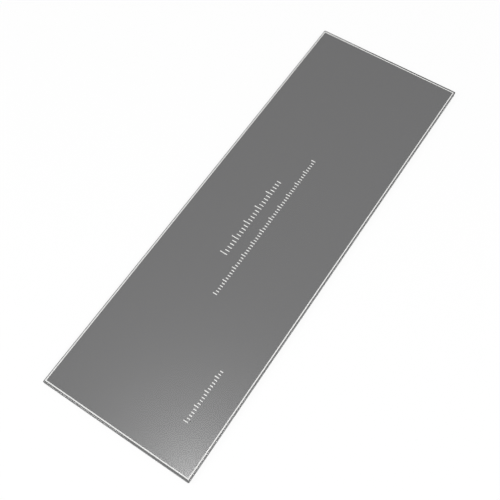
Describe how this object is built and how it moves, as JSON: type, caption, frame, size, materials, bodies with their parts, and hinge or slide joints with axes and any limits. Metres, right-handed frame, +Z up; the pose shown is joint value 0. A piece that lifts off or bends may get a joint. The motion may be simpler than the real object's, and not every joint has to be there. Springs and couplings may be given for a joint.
{
  "type": "icing smoother",
  "caption": "Flat rectangular smoothing plate of see-through grey acrylic with straight, narrowly bevelled edges on every side and fine engraved tick scales.",
  "frame": {"origin": "centre of the plate's bottom face, on the surface that it lies on", "axes": "+X across the plate's width, +Y along its length, +Z up through its thickness to the engraved face"},
  "size_m": [0.1016, 0.3048, 0.003],
  "materials": {
    "tinted_acrylic": "gloss, see-through grey, polished edges, frosted engraving"
  },
  "bodies": {
    "root": {"scraper_plate": "tinted_acrylic"}
  },
  "joints": []
}
